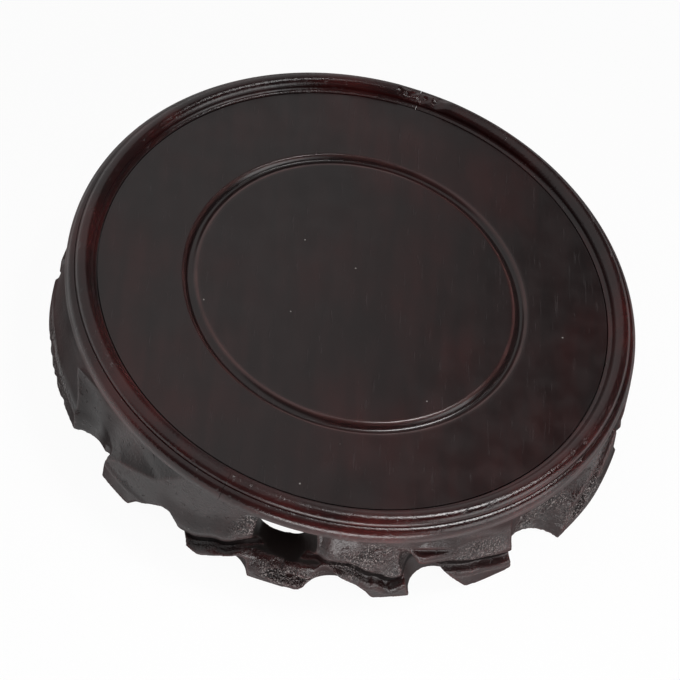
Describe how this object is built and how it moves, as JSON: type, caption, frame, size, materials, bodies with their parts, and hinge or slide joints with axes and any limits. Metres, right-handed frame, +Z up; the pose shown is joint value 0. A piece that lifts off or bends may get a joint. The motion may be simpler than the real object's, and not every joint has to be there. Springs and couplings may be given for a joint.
{
  "type": "round display stand",
  "caption": "Round carved hardwood display stand with a sunk, grooved panel top inside a beaded rim on a fluted and pierced base ring.",
  "frame": {"origin": "on the ground, under the middle of the stand", "axes": "+Z up; -Y towards the side with the visible piercing; +X to the right of that side"},
  "size_m": [0.2088, 0.201, 0.0443],
  "materials": {
    "field": "dark brown-black lacquer with a soft sheen",
    "rim": "dark red-brown polished lacquer",
    "base": "dark red-brown polished lacquer over carving",
    "bare_wood": "unlacquered hardwood",
    "bamboo": "bare bamboo"
  },
  "bodies": {
    "root": {"field_board_1": "field", "field_board_2": "field", "field_board_3": "field", "rim_segment_1": "rim", "rim_segment_2": "rim", "rim_segment_3": "rim", "rim_segment_4": "rim", "base_segment_1": "base", "base_segment_2": "base", "base_segment_3": "base", "base_segment_4": "base", "base_segment_5": "base", "base_segment_6": "base", "batten_near": "bare_wood", "batten_far": "bare_wood", "rim_tongue_1": "bare_wood", "rim_tongue_2": "bare_wood", "rim_tongue_3": "bare_wood", "rim_tongue_4": "bare_wood", "base_dowel_1": "bamboo", "base_dowel_2": "bamboo", "base_dowel_3": "bamboo", "base_dowel_4": "bamboo", "base_dowel_5": "bamboo", "base_dowel_6": "bamboo", "rim_pin_1": "bamboo", "rim_pin_2": "bamboo", "rim_pin_3": "bamboo", "rim_pin_4": "bamboo", "rim_pin_5": "bamboo", "rim_pin_6": "bamboo", "rim_pin_7": "bamboo", "rim_pin_8": "bamboo", "rim_pin_9": "bamboo", "rim_pin_10": "bamboo", "rim_pin_11": "bamboo", "rim_pin_12": "bamboo", "rim_pin_13": "bamboo"}
  },
  "joints": []
}
